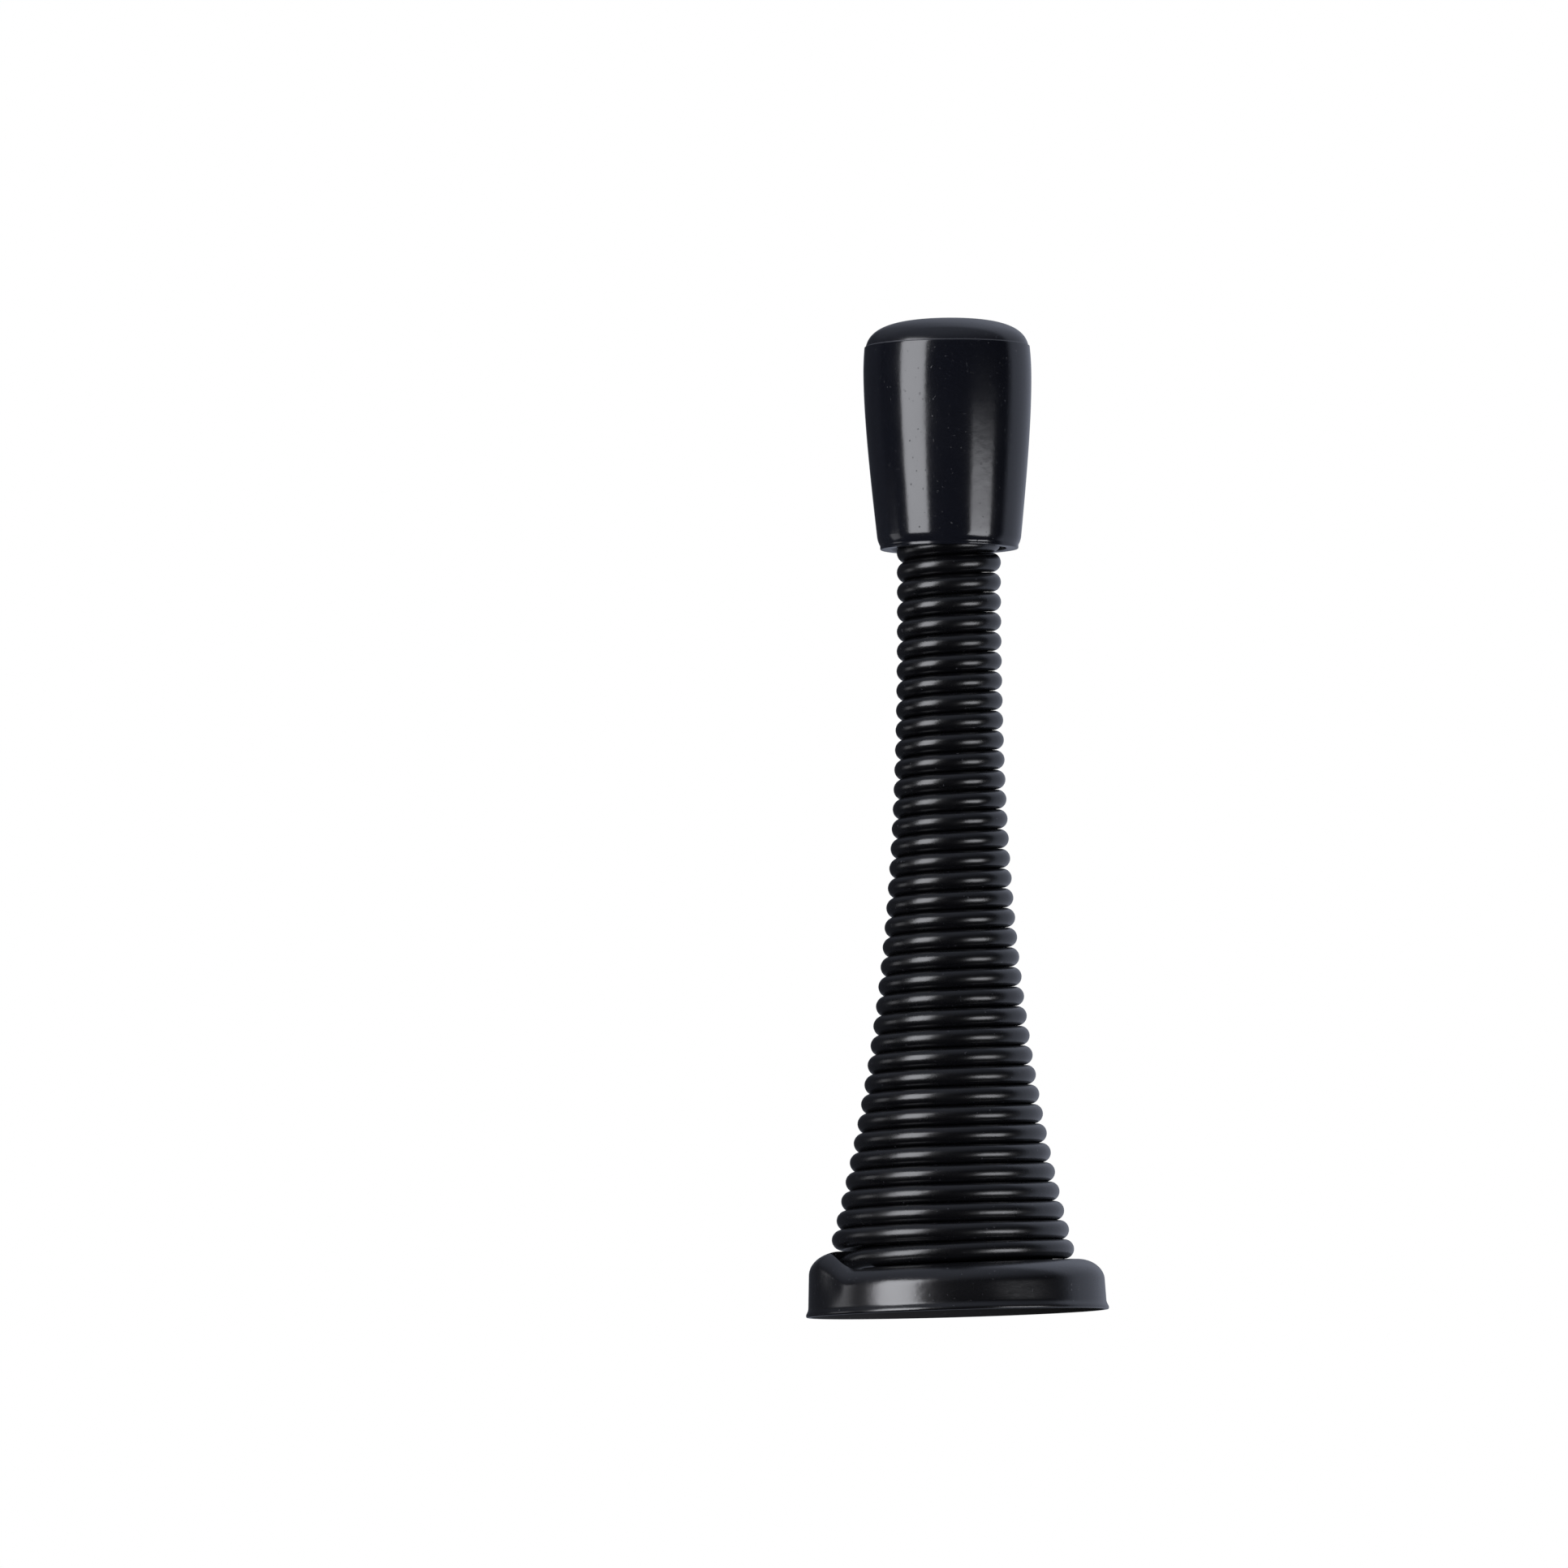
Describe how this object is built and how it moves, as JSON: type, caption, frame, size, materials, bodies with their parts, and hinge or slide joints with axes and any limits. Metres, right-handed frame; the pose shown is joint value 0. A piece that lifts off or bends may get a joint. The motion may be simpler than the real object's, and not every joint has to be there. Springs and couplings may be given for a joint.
{
  "type": "spring door stop",
  "caption": "Black spring door stop: close wound trumpet spring threaded into a round sheet cup, with a moulded cap on its tip.",
  "frame": {"origin": "centre of the cup's rim, in the plane that lies against the skirting", "axes": "+Z away from the wall towards the cap; +X to the right in the picture, which is the way that the spring leans; the picture is taken from -Y"},
  "size_m": [0.0242, 0.0242, 0.0798],
  "materials": {
    "cup_paint": "satin black powder coat",
    "spring_paint": "satin black powder coat",
    "cap_rubber": "glossy black moulding"
  },
  "bodies": {
    "root": {"base_cup": "cup_paint", "coil_spring": "spring_paint", "tip_cap": "cap_rubber"}
  },
  "joints": []
}
